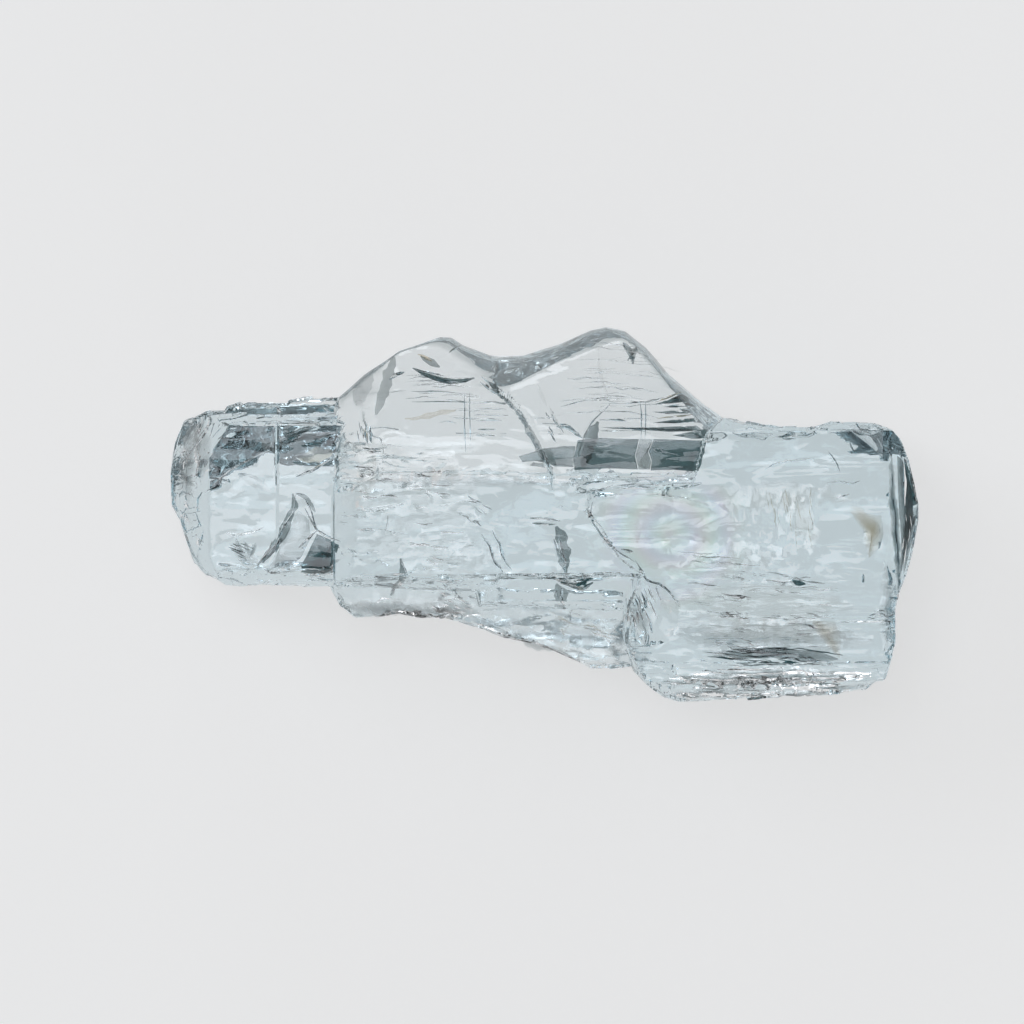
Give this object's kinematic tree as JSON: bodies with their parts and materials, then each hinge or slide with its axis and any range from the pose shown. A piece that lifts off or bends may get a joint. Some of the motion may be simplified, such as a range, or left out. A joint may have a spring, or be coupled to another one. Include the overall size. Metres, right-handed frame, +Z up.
{
  "type": "aquamarine crystal",
  "caption": "Clear pale blue beryl crystal, broken and etched: a flat-faced prism with a stepped butt end, a thin fractured fin along one side and a flat back face to lie on.",
  "frame": {"origin": "middle of the crystal seen from above, on the surface that it lies on", "axes": "+X along the crystal's long axis towards its thick stepped butt, +Y towards the thin fin, +Z up, out of the broad front face"},
  "size_m": [0.025, 0.0126, 0.0074],
  "materials": {
    "beryl": "clear pale blue beryl, glassy on its faces and frosted where it is etched"
  },
  "bodies": {
    "root": {"aquamarine_crystal": "beryl"}
  },
  "joints": []
}
